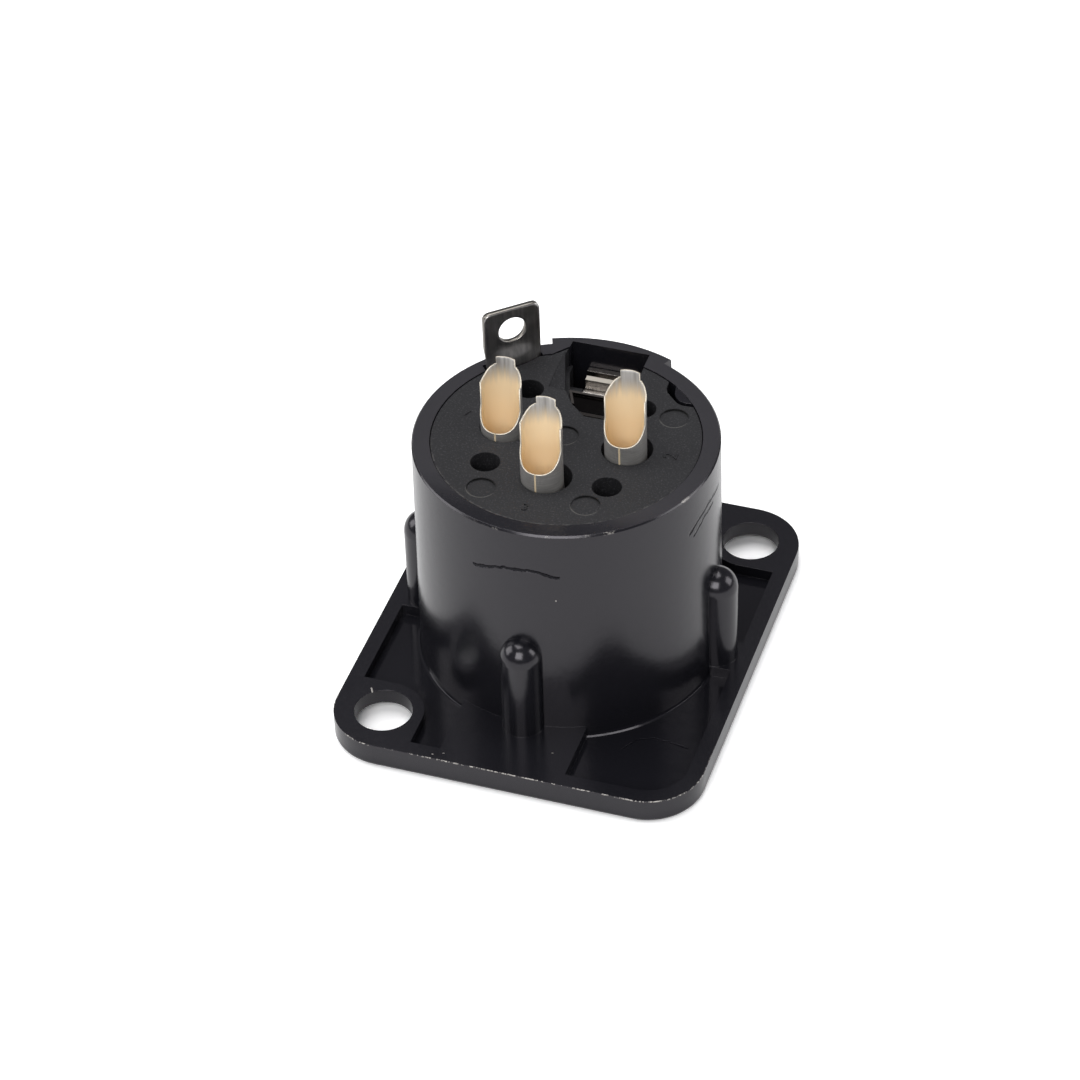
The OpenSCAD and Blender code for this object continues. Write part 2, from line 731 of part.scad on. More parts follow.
// C-shaped leaf: the upper plate lies on the insert's ledges, the lower one lifts the heel
module leaf_spring() {
    far = hinge_y - knuckle_r - side_gap;
    low = hinge_z - knuckle_r - leaf_t;
    inset = 0.1;
    right = slot_half - inset;
    left = [-1.85, -1.25];
    bend_y = 4.95;
    flange_h = 0.4;
    web_y = slot_near + ledge_w + inset;
    // Side view of the tab, bent up out of the plate
    tab_end = slot_near + 1.1;
    tab_foot = slot_near + 2.1;
    tab_h = 0.7;
    tab = [
        [tab_foot, 0], [tab_foot, leaf_t], [tab_end, tab_h], [tab_end, tab_h - leaf_t],
        [tab_end + 2.5 * leaf_t, leaf_t / 2], [tab_end + 2.5 * leaf_t, 0]
    ];
    low_end = heel_y + 3 * leaf_t;
    color("#b4b2ac") {
        translate([0, 0, ledge_z])
            linear_extrude(leaf_t)
                polygon([
                    [slot_left[0][0] + inset, slot_near + inset], [slot_left[1][0] + inset, slot_left[1][1] + inset],
                    [left[1], bend_y], [left[0], far], [right - 0.2, far], [right, far - 0.2], [right, slot_near + inset]
                ]);
        // Edges turned up along the far and the left side
        translate([left[0] + leaf_t, far - leaf_t, ledge_z])
            cube([right - 0.2 - left[0] - leaf_t, leaf_t, flange_h]);
        translate([0, 0, ledge_z])
            linear_extrude(flange_h)
                polygon([
                    [left[0], far], [left[1], bend_y], [left[1] + leaf_t, bend_y], [left[0] + leaf_t, far]
                ]);
        translate([slot_left[1][0] + 2 * inset, 0, ledge_z])
            rotate([90, 0, 90])
                linear_extrude(right - slot_left[1][0] - 2 * inset)
                    polygon(tab);
        translate([heel_x[0], web_y, low])
            cube([heel_x[1] - heel_x[0], leaf_t, ledge_z - low + leaf_t / 2]);
        translate([heel_x[0], web_y, low])
            cube([heel_x[1] - heel_x[0], low_end - web_y, leaf_t]);
    }
}

housing();
insert();
nose();
contact_1();
contact_2();
contact_3();
ground_lug();
latch_lever();
hinge_pin();
leaf_spring();
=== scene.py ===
"""Looks of a three-pole panel socket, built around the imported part."""

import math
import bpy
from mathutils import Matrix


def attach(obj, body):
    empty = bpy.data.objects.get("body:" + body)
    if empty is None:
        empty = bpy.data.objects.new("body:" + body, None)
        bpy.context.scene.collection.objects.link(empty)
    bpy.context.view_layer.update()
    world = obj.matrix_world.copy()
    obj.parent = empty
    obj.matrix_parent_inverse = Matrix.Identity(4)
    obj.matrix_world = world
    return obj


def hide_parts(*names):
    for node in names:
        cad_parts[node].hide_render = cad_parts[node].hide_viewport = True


bl_info = {
    "name": "Panel socket looks",
    "version": (1, 0, 0),
    "blender": (4, 5, 0),
    "location": "View3D > Sidebar > Socket",
    "description": "Dresses the packed panel socket and sets up its studio",
    "category": "Object",
}

import bmesh
import bpy
from mathutils import Matrix, Vector

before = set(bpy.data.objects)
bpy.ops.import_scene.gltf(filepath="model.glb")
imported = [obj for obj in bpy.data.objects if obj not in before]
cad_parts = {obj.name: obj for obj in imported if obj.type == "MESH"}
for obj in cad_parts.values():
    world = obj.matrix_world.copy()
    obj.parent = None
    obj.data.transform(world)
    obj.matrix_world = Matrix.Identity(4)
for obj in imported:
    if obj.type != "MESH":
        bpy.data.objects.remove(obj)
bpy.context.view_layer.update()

MM = 0.001

# Places on the part, in millimetres, in the row frame
FLANGE_TOP = 1.9
FLOOR_Z = 1.05
RIM_Z = 18.55
FACE_Z = 18.47
INSERT_R = 9.05
BARREL_R = 10.31
# Centre of the flange's corners, and their radius
CORNER_AT = (9.1, 11.6, 0)
CORNER_R = 3.9
CONTACT_R = 4.25
CUP_R = 1.42
CUP_WALL = 0.1
CUP_TOP = 24.2
CUP_MOUTH = 19.8
TONGUE_HALF = 0.675
PIN_BORE_R = 1.22
LEAD_IN = 0.85
LIP_TOP = 17.2
LEAF_Z = 16.95
LUG_TURN = 131.3
LUG_R = 9.0
LUG_HALF = 2.03
LUG_TOP = 22.95
LUG_T = 0.4
LUG_BOW = 0.45
SEAT_Z = 14.0
BOW_TOP = 18.72
BOW_END = 20.22
WIRE_HOLE_Z = 21.25
WIRE_HOLE_R = 1.0
# Marks punched into the barrel's wall: distance round it from the near side, and height
PUNCH_LEFT = [(-3.3, 14.7, 0), (-2.7, 14.83, 0), (-1.15, 15.33, 0), (0.94, 15.5, 0), (2.64, 15.06, 0)]
WALL_SPECKS = [(2.44, 13.07), (1.92, 10.06), (-5.36, 7.2), (-5.18, 3.73), (-1.99, 6.35)]
BACK_SPECKS = [(-7.96, -10.46, 1.05), (-4.92, -15.1, 1.9), (-4.24, -14.8, 1.9), (2.74, -12.71, 1.9)]
NICK = [(-11.03, -10.15, 1.9), (-10.69, -10.78, 1.9)]
HAIRLINE = [(6.85, -10.12, 1.05), (7.5, -9.01, 1.05), (8.55, -8.54, 1.05), (9.77, -8.63, 1.05), (11.02, -8.86, 1.05)]
PUNCH_RIGHT = [(12.4, 15.35, 0), (13.5, 15.95, 0), (14.91, 16.3, 0), (17.0, 16.2, 0)]
PUNCH_UNDER = [(12.9, 14.95, 0), (14.2, 15.6, 0), (15.6, 15.75, 0)]
# Ejector marks on the insert's rear face
EJECTORS = [(-3.77, -6.5, 0), (3.35, -6.3, 0), (6.3, 4.0, 0), (-0.2, 0.2, 0)]


def linear(colour, alpha=1.0):
    """An sRGB hex colour as the linear values that shaders take."""
    parts = [int(colour[i:i + 2], 16) / 255 for i in (1, 3, 5)]
    return tuple(c / 12.92 if c <= 0.04045 else ((c + 0.055) / 1.055) ** 2.4 for c in parts) + (alpha,)


def put(tree, kind, inputs=None, stops=None, **settings):
    """Adds a node with its settings; an input given as a socket is linked, any other is set."""
    node = tree.nodes.new("ShaderNode" + kind)
    for name, value in settings.items():
        setattr(node, name, value)
    for key, value in (inputs or {}).items():
        if isinstance(value, bpy.types.NodeSocket):
            tree.links.new(value, node.inputs[key])
        else:
            node.inputs[key].default_value = value
    for i, (place, colour) in enumerate(stops or []):
        ramp = node.color_ramp.elements
        stop = ramp[i] if i < 2 else ramp.new(place)
        stop.position = place
        stop.color = colour
    return node


def new_material(name):
    """An empty node material with its output, and the object coordinates in millimetres."""
    material = bpy.data.materials.new(name)
    material.use_nodes = True
    tree = material.node_tree
    tree.nodes.clear()
    place = put(tree, "TexCoord").outputs["Object"]
    millimetres = put(tree, "VectorMath", {0: place, 1: (1 / MM,) * 3}, operation="MULTIPLY").outputs[0]
    return material, tree, millimetres


def close(tree, shader):
    """Links a shader to the material's output."""
    put(tree, "OutputMaterial", {"Surface": shader})


def grey(value):
    return (value, value, value, 1)


def length(name, description, default):
    """A size property in metres."""
    return bpy.props.FloatProperty(name=name, description=description, default=default, unit="LENGTH",
                                   precision=5)


def share(name, description, default):
    """A property from 0 to 1."""
    return bpy.props.FloatProperty(name=name, description=description, default=default, min=0, max=1,
                                   subtype="FACTOR")


def tint(name, description, colour):
    """A colour property, its default given as sRGB hex."""
    return bpy.props.FloatVectorProperty(name=name, description=description, default=linear(colour),
                                         size=4, min=0, max=2, subtype="COLOR")


class SOCKET_PG_coating(bpy.types.PropertyGroup):
    """Black coating of the casting."""

    colour: tint("Coating", "Colour of the black coating", "#141418")
    roughness: share("Roughness", "How dull the coating is", 0.2)
    metal: tint("Bare metal", "Colour of the zinc where the coating has chipped", "#b9b5b0")
    grain: length("Grain", "Spacing of the coating's fine grain", 0.22 * MM)
    wear: share("Wear", "How much of the exposed edges has chipped", 0.5)


class SOCKET_PG_plastic(bpy.types.PropertyGroup):
    """Moulded insert."""

    colour: tint("Plastic", "Colour of the moulded insert", "#1d1d1f")
    roughness: share("Roughness", "How dull the plastic is", 0.55)
    grain: length("Grain", "Spacing of the moulded grain", 0.12 * MM)
    digit: length("Digit height", "Height of the raised contact numbers", 0.95 * MM)


class SOCKET_PG_metal(bpy.types.PropertyGroup):
    """Contacts, lug and latch."""

    tin: tint("Plating outside", "Colour of the contacts' outside", "#b5b3b0")
    gold: tint("Plating inside", "Colour of the cups' inside", "#f5dfb9")
    edge: tint("Cut edge", "Colour of freshly cut sheet edges", "#c9c1b2")
    lug: tint("Lug", "Colour of the ground lug", "#bdbbb9")
    steel: tint("Latch", "Colour of the latch's sheet steel", "#a9a49f")
    brush: length("Brushing", "Spacing of the drawn lines", 0.09 * MM)


class SOCKET_PG_studio(bpy.types.PropertyGroup):
    """Floor, lamps and camera."""

    floor: tint("Floor", "Colour of the table", "#e9e9e9")
    shown: tint("Shown floor", "Colour of the table as the camera sees it", "#ffffff")
    lamp: bpy.props.FloatProperty(name="Lamp", description="Power of the overhead softbox", default=6.0,
                                  min=0, unit="POWER")
    sky: share("Room", "Brightness of the room round the table", 0.17)
    lens: bpy.props.FloatProperty(name="Lens", description="Focal length in millimetres", default=129.02,
                                  min=10)


def ride(piece, body):
    """Puts a piece on its body."""
    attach(piece, body)


def finished(mesh_maker, name, materials):
    """A bmesh as a smooth mesh object in the scene."""
    mesh = bpy.data.meshes.new(name)
    mesh_maker.to_mesh(mesh)
    mesh_maker.free()
    for material in materials:
        mesh.materials.append(material)
    mesh.shade_smooth()
    piece = bpy.data.objects.new(name, mesh)
    bpy.context.scene.collection.objects.link(piece)
    return piece


def dress(node, material):
    """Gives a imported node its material."""
    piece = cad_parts[node]
    piece.data.materials.clear()
    piece.data.materials.append(material)
    return piece


def step_up(tree, value, low, high):
    """0 below low, 1 above high, smooth between."""
    return put(tree, "MapRange", {"Value": value, "From Min": low, "From Max": high},
               interpolation_type="SMOOTHSTEP").outputs[0]


def times(tree, a, b):
    return put(tree, "Math", {0: a, 1: b}, operation="MULTIPLY").outputs[0]


def larger(tree, a, b):
    return put(tree, "Math", {0: a, 1: b}, operation="MAXIMUM").outputs[0]


def near_line(tree, point, start, end, width):
    """1 on the straight line from start to end, falling to 0 at width."""
    line = Vector(end) - Vector(start)
    reach = put(tree, "VectorMath", {0: point, 1: start}, operation="SUBTRACT").outputs[0]
    along = put(tree, "VectorMath", {0: reach, 1: line}, operation="DOT_PRODUCT").outputs["Value"]
    part = put(tree, "Math", {0: along, 1: line.length_squared}, operation="DIVIDE", use_clamp=True).outputs[0]
    foot = put(tree, "VectorMath", {0: line, "Scale": part}, operation="SCALE").outputs[0]
    gap = put(tree, "VectorMath", {0: reach, 1: foot}, operation="DISTANCE").outputs["Value"]
    return put(tree, "MapRange", {"Value": gap, "From Min": width, "From Max": width * 0.4},
               interpolation_type="SMOOTHSTEP").outputs[0]


def near_path(tree, point, path, width):
    """1 on a chain of straight lines through the points of path."""
    mask = None
    for start, end in zip(path, path[1:]):
        piece = near_line(tree, point, start, end, width)
        mask = piece if mask is None else larger(tree, mask, piece)
    return mask


def noise(tree, point, spacing, detail=2.0, roughness=0.5):
    """Noise with features about as far apart as spacing, in millimetres."""
    return put(tree, "TexNoise", {"Vector": point, "Scale": 1 / spacing, "Detail": detail,
                                  "Roughness": roughness}).outputs[0]


def mixed(tree, factor, a, b):
    """A number between a and b."""
    return put(tree, "Mix", {0: factor, 2: a, 3: b}).outputs[0]


def blended(tree, factor, a, b):
    """A colour between a and b."""
    return put(tree, "Mix", {0: factor, 6: a, 7: b}, data_type="RGBA").outputs[2]


def coated_zinc(settings):
    """Die-cast zinc under a thin black coating: smooth gloss that blurs what it mirrors, glossier on the
    cast floors, faint orange peel, and bright chips where the coating has rubbed off outer edges."""
    material, tree, place = new_material("coated_zinc")
    axes = put(tree, "SeparateXYZ", {0: place}).outputs
    x, y, z = axes[0], axes[1], axes[2]
    flat = put(tree, "CombineXYZ", {"X": x, "Y": y}).outputs[0]
    radius = put(tree, "VectorMath", {0: flat}, operation="LENGTH").outputs["Value"]
    turn = put(tree, "Math", {0: x, 1: times(tree, y, -1.0)}, operation="ARCTAN2").outputs[0]
    depth = put(tree, "Math", {0: radius, 1: BARREL_R}, operation="SUBTRACT").outputs[0]
    wall = put(tree, "CombineXYZ", {"X": times(tree, turn, BARREL_R), "Y": z, "Z": depth}).outputs[0]

    grain = noise(tree, place, settings.grain / MM)
    peel = noise(tree, place, 1.1, 1.0)
    chips = noise(tree, place, 0.25, 3.0, 0.7)
    patches = noise(tree, place, 2.3, 2.0)

    # Distance inside the flange's outline, a rectangle with round corners
    beyond = put(tree, "VectorMath", {0: flat}, operation="ABSOLUTE").outputs[0]
    beyond = put(tree, "VectorMath", {0: beyond, 1: CORNER_AT}, operation="SUBTRACT").outputs[0]
    beyond = put(tree, "VectorMath", {0: beyond, 1: (0, 0, 0)}, operation="MAXIMUM").outputs[0]
    outline = put(tree, "VectorMath", {0: beyond}, operation="LENGTH").outputs["Value"]

    # Outer edge of the rim on the near side, and the flange's top edge round its near end
    rim = times(tree, step_up(tree, radius, BARREL_R - 0.17, BARREL_R - 0.07),
                step_up(tree, z, RIM_Z - 0.2, RIM_Z - 0.08))
    rim = times(tree, rim, times(tree, step_up(tree, y, -2.0, -7.0), step_up(tree, patches, 0.5, 0.65)))
    front = times(tree, step_up(tree, outline, CORNER_R - 0.07, CORNER_R - 0.02),
                  step_up(tree, z, FLANGE_TOP - 0.09, FLANGE_TOP - 0.03))
    front = times(tree, front, step_up(tree, y, -8.0, -13.0))
    rubbed = put(tree, "Math", {0: times(tree, chips, 0.6), 1: times(tree, patches, 0.4)}, operation="ADD").outputs[0]
    worn = times(tree, larger(tree, rim, front),
                 step_up(tree, rubbed, 0.62 - 0.26 * settings.wear, 0.7 - 0.26 * settings.wear))
    for arc, height in WALL_SPECKS:
        worn = larger(tree, worn, near_line(tree, wall, (arc, height, 0), (arc, height + 0.06, 0), 0.07))
    for spot in BACK_SPECKS:
        worn = larger(tree, worn, near_line(tree, place, spot, (spot[0] + 0.06, spot[1], spot[2]), 0.05))
    worn = larger(tree, worn, near_path(tree, place, NICK, 0.07))

    # Marks punched into the barrel's wall, and a hairline in the coating of one floor
    wobble = put(tree, "TexNoise", {"Vector": place, "Scale": 2.2, "Detail": 3.0}).outputs["Color"]
    wobble = put(tree, "VectorMath", {0: wobble, 1: (0.5,) * 3}, operation="SUBTRACT").outputs[0]
    wobble = put(tree, "VectorMath", {0: wobble, "Scale": 0.26}, operation="SCALE").outputs[0]
    rough_wall = put(tree, "VectorMath", {0: wall, 1: wobble}, operation="ADD").outputs[0]
    punched = larger(tree, near_path(tree, rough_wall, PUNCH_LEFT, 0.14), near_path(tree, rough_wall, PUNCH_RIGHT, 0.16))
    punched = larger(tree, punched, near_path(tree, rough_wall, PUNCH_UNDER, 0.13))
    punched = larger(tree, punched, near_path(tree, place, HAIRLINE, 0.07))

    bump = put(tree, "Bevel", {"Radius": 0.05 * MM}, samples=4).outputs[0]
    bump = put(tree, "Bump", {"Strength": 0.35, "Distance": 0.02 * MM, "Height": peel, "Normal": bump}).outputs[0]
    bump = put(tree, "Bump", {"Strength": 0.5, "Distance": 0.004 * MM, "Height": grain, "Normal": bump}).outputs[0]
    bump = put(tree, "Bump", {"Strength": 1.0, "Distance": 0.08 * MM, "Height": times(tree, punched, -1.0),
                              "Normal": bump}).outputs[0]
    dull = put(tree, "MapRange", {"Value": grain, "To Min": settings.roughness - 0.05,
                                  "To Max": settings.roughness + 0.05}).outputs[0]
    dull = times(tree, dull, mixed(tree, step_up(tree, z, 1.5, 1.2), 1.0, 0.6))
    # The barrel's end face is duller than its wall, but for its near side
    end_face = times(tree, step_up(tree, z, RIM_Z - 0.05, RIM_Z - 0.02), step_up(tree, y, -9.6, -5.0))
    dull = mixed(tree, end_face, dull, 0.46)
    gloss = mixed(tree, punched, 0.48, 0.1)
    shader = put(tree, "BsdfPrincipled", {
        "Base Color": blended(tree, worn, settings.colour, settings.metal),
        "Roughness": mixed(tree, worn, dull, 0.35), "Metallic": worn, "Specular IOR Level": gloss, "Specular Tint": (0.98, 0.94, 1.0, 1), "Normal": bump,
    }).outputs[0]
    close(tree, shader)
    return material


def moulded_nylon(settings):
    """Glass-filled black nylon from a spark-eroded mould: matt with a fine even grain, and pale scuffs with a
    painted highlight on the near edge of its rear face."""
    material, tree, place = new_material("moulded_nylon")
    axes = put(tree, "SeparateXYZ", {0: place}).outputs
    flat = put(tree, "CombineXYZ", {"X": axes[0], "Y": axes[1]}).outputs[0]
    radius = put(tree, "VectorMath", {0: flat}, operation="LENGTH").outputs["Value"]
    grain = noise(tree, place, settings.grain / MM, 3.0, 0.6)
    cloud = noise(tree, place, 2.8)
    scuff_and_highlight = times(tree, step_up(tree, radius, INSERT_R - 0.16, INSERT_R - 0.03),
                  step_up(tree, axes[2], FACE_Z - 0.15, FACE_Z - 0.05))
    scuff_and_highlight = times(tree, scuff_and_highlight, step_up(tree, noise(tree, place, 0.5, 3.0, 0.7), 0.42, 0.6))
    light = blended(tree, times(tree, cloud, 0.5), settings.colour, linear("#262628"))
    # The pale band is kept to the near edge only: partly scuffs, partly a painted highlight
    scuff_and_highlight = times(tree, scuff_and_highlight, step_up(tree, axes[1], -1.0, -6.0))
    light = blended(tree, times(tree, scuff_and_highlight, 0.22), light, linear("#8d8a86"))
    light = blended(tree, times(tree, step_up(tree, grain, 0.52, 0.7), 0.45), light, linear("#4a494c"))
    # The ejector marks' edges: a painted highlight on their near side and a painted shadow on their far side
    for mark in EJECTORS:
        away = put(tree, "VectorMath", {0: flat, 1: mark}, operation="SUBTRACT").outputs[0]
        gap = put(tree, "VectorMath", {0: away}, operation="LENGTH").outputs["Value"]
        side = put(tree, "SeparateXYZ", {0: away}).outputs[1]
        ring = times(tree, step_up(tree, gap, 0.8, 0.93), step_up(tree, gap, 1.08, 1.0))
        light = blended(tree, times(tree, times(tree, ring, step_up(tree, side, -0.1, -0.8)), 0.3), light,
                        linear("#75736f"))
        light = blended(tree, times(tree, times(tree, ring, step_up(tree, side, 0.2, 0.8)), 0.8), light,
                        linear("#050505"))
    bump = put(tree, "Bevel", {"Radius": 0.06 * MM}, samples=4).outputs[0]
    bump = put(tree, "Bump", {"Strength": 1.0, "Distance": 0.015 * MM, "Height": grain, "Normal": bump}).outputs[0]
    dull = put(tree, "MapRange", {"Value": grain, "To Min": settings.roughness - 0.08,
                                  "To Max": settings.roughness + 0.08}).outputs[0]
    close(tree, put(tree, "BsdfPrincipled", {"Base Color": light, "Roughness": dull, "Specular IOR Level": 0.22, "Normal": bump}).outputs[0])
    return material


def drawn_metal(name, colour, settings, dull=0.3, streak=0.25, metal=1.0, bright_from=100.0, end="#b8b2a8",
                drawn=(1, 1, 0.04)):
    """Rolled or drawn sheet: metal with fine lines along its length, which stretch what it mirrors. Its
    faces above bright_from, the freshly cut ends, are paler and duller, partly a painted highlight on these top
    faces."""
    material, tree, place = new_material(name)
    along = put(tree, "VectorMath", {0: place, 1: drawn}, operation="MULTIPLY").outputs[0]
    lines = noise(tree, along, settings.brush / MM, 2.0)
    stain = noise(tree, place, 1.3, 2.0)
    # Everything above bright_from takes the paler end colour: partly the cut ends' own colour, partly a painted
    # highlight on the top faces
    fresh = step_up(tree, put(tree, "SeparateXYZ", {0: place}).outputs[2], bright_from, bright_from + 0.05)
    shade = put(tree, "MapRange", {"Value": lines, "From Min": 0.3, "From Max": 0.7, "To Min": 1 - streak}).outputs[0]
    shaded = put(tree, "VectorMath", {0: colour[:3], "Scale": shade}, operation="SCALE").outputs[0]
    shaded = blended(tree, fresh, shaded, linear(end))
    bump = put(tree, "Bevel", {"Radius": 0.04 * MM}, samples=4).outputs[0]
    bump = put(tree, "Bump", {"Strength": 0.4, "Distance": 0.006 * MM, "Height": lines, "Normal": bump}).outputs[0]
    rough = put(tree, "MapRange", {"Value": stain, "To Min": dull - 0.08, "To Max": dull + 0.1}).outputs[0]
    close(tree, put(tree, "BsdfPrincipled", {
        "Base Color": shaded, "Metallic": mixed(tree, fresh, metal, 0.6), "Roughness": mixed(tree, fresh, rough, 0.5),
        "Normal": bump}).outputs[0])
    return material


def cup_inside(settings):
    """Gold flash on the cups' inside: cream and satin at the mouth, worn to streaked tin near the tip."""
    material, tree, place = new_material("gold_flash")
    axes = put(tree, "SeparateXYZ", {0: place}).outputs
    along = put(tree, "VectorMath", {0: place, 1: (1, 1, 0.05)}, operation="MULTIPLY").outputs[0]
    lines = noise(tree, along, 0.25, 2.0)
    # Contact 1, on the left, stands lower than the others
    level = put(tree, "Math", {0: axes[2], 1: times(tree, step_up(tree, axes[0], -2.6, -2.7), LEAD_IN)},
                operation="ADD").outputs[0]
    level = put(tree, "Math", {0: level, 1: times(tree, lines, 1.2)}, operation="ADD").outputs[0]
    faded = step_up(tree, level, 22.5, 24.3)
    tin = put(tree, "VectorMath", {0: settings.tin[:3], "Scale": put(
        tree, "MapRange", {"Value": lines, "From Min": 0.35, "From Max": 0.65, "To Min": 0.5}).outputs[0]},
        operation="SCALE").outputs[0]
    colour = blended(tree, faded, settings.gold, tin)
    close(tree, put(tree, "BsdfPrincipled", {"Base Color": colour, "Metallic": 0.15, "Roughness": 0.5}).outputs[0])
    return material


def plated_lug(settings):
    """Bright tin on stamped brass: nearly a mirror, with small pits and fine handling scratches."""
    material, tree, place = new_material("bright_tin")
    pits = step_up(tree, noise(tree, place, 0.22, 3.0, 0.7), 0.66, 0.72)
    haze = noise(tree, place, 0.8, 3.0)
    drawn = put(tree, "VectorMath", {0: place, 1: (1, 1, 0.06)}, operation="MULTIPLY").outputs[0]
    lines = noise(tree, drawn, 0.25, 3.0)
    bump = put(tree, "Bump", {"Strength": 0.6, "Distance": 0.01 * MM, "Height": times(tree, pits, -1.0)}).outputs[0]
    bump = put(tree, "Bump", {"Strength": 0.2, "Distance": 0.01 * MM, "Height": haze, "Normal": bump}).outputs[0]
    bump = put(tree, "Bump", {"Strength": 0.3, "Distance": 0.003 * MM, "Height": lines, "Normal": bump}).outputs[0]
    rough = put(tree, "MapRange", {"Value": haze, "To Min": 0.22, "To Max": 0.42}).outputs[0]
    colour = blended(tree, step_up(tree, lines, 0.35, 0.7), linear("#a7a5a4"), settings.lug)
    colour = blended(tree, times(tree, pits, 0.5), colour, linear("#8a8884"))
    close(tree, put(tree, "BsdfPrincipled", {"Base Color": colour, "Metallic": 1.0, "Roughness": rough,
                                             "Normal": bump}).outputs[0])
    return material


def cut_edge(settings):
    """Sheared sheet edge: bright, slightly torn metal."""
    material, tree, place = new_material("cut_edge")
    torn = noise(tree, place, 0.12, 2.0)
    bump = put(tree, "Bump", {"Strength": 0.5, "Distance": 0.01 * MM, "Height": torn}).outputs[0]
    close(tree, put(tree, "BsdfPrincipled", {"Base Color": settings.edge, "Metallic": 0.7, "Roughness": 0.4,
                                             "Normal": bump}).outputs[0])
    return material


def smooth_step(t):
    return t * t * (3 - 2 * t)


def cup_height(turn):
    """Height of a cup's cut edge above the mouth, at turn degrees from the near side: a round mouth, upright
    sides, rounded shoulders and a square tongue."""
    if turn < 87:
        return 1.363 * (1 - math.cos(math.radians(turn))) ** 1.678
    if turn < 144.6:
        slope_start = TONGUE_HALF + 0.15
        rest = (CUP_R * math.sin(math.radians(turn)) - slope_start) / (CUP_R - slope_start)
        return 3.05 + 0.73 * (1 - rest ** 2)
    return 3.84 if turn < 151.6 else CUP_TOP - CUP_MOUTH


def solder_contact(name, centre, lean, drop, materials):
    """A rolled contact: a flat blank bent round its axis, its top cut to the outline of the cup, the cup
    leaning a little in its cavity."""
    half = sorted([0.4, 2.3, 86.95, 87.05, 144.55, 144.65, 151.55, 151.65] + [4.5 + 2.25 * k for k in range(78)])
    turns = half + [360 - turn for turn in reversed(half)]
    columns, rows = len(turns) - 1, 40
    pinch_low, pinch_high = 12.0, 14.4
    levels = [2.4, 2.7, 6, 11.6, pinch_low, pinch_high, 14.8, 16, 18, 19, CUP_MOUTH - 0.3]
    last = len(levels) - 1
    blank = bmesh.new()
    bmesh.ops.create_grid(blank, x_segments=columns, y_segments=rows, size=0.5)
    column_of = {vert: round((vert.co.x + 0.5) * columns) for vert in blank.verts}
    for vert, column in column_of.items():
        row = round((vert.co.y + 0.5) * rows)
        turn = turns[column]
        top = CUP_MOUTH + cup_height(min(turn, 360 - turn))
        z = levels[row] if row <= last else levels[last] + (top - levels[last]) * (row - last) / (rows - last)
        radius = CUP_R
        if z < 11.7:
            radius = PIN_BORE_R + CUP_WALL
        if pinch_low - 0.1 < z < pinch_high + 0.1:
            radius = 1.15
        leant = smooth_step(min(max((z - 14) / 4.4, 0), 1))
        angle = math.radians(turn - 90)
        vert.co = Vector((centre[0] + lean[0] * leant + radius * math.cos(angle),
                          centre[1] + lean[1] * leant + radius * math.sin(angle), z - drop)) * MM
    bmesh.ops.recalc_face_normals(blank, faces=blank.faces)
    blank.faces.ensure_lookup_table()
    outward = blank.faces[0].calc_center_median() - Vector((*centre, 0)) * MM
    if blank.faces[0].normal.xy.dot(outward.xy) < 0:
        bmesh.ops.reverse_faces(blank, faces=blank.faces)
    # The brass shows along the rolled seam
    for face in blank.faces:
        beside = [column_of[vert] for vert in face.verts]
        if max(beside) <= 1 or min(beside) >= columns - 1:
            face.material_index = 1
    piece = finished(blank, name, materials)
    wall = piece.modifiers.new("wall", "SOLIDIFY")
    wall.thickness = CUP_WALL * MM
    wall.offset = -1
    wall.material_offset = 1
    wall.material_offset_rim = 2
    return piece


def lug_face(side, bow):
    """Distance of the lug's inner face from the barrel's axis."""
    return LUG_R - bow * (1 - (side / LUG_HALF) ** 2)


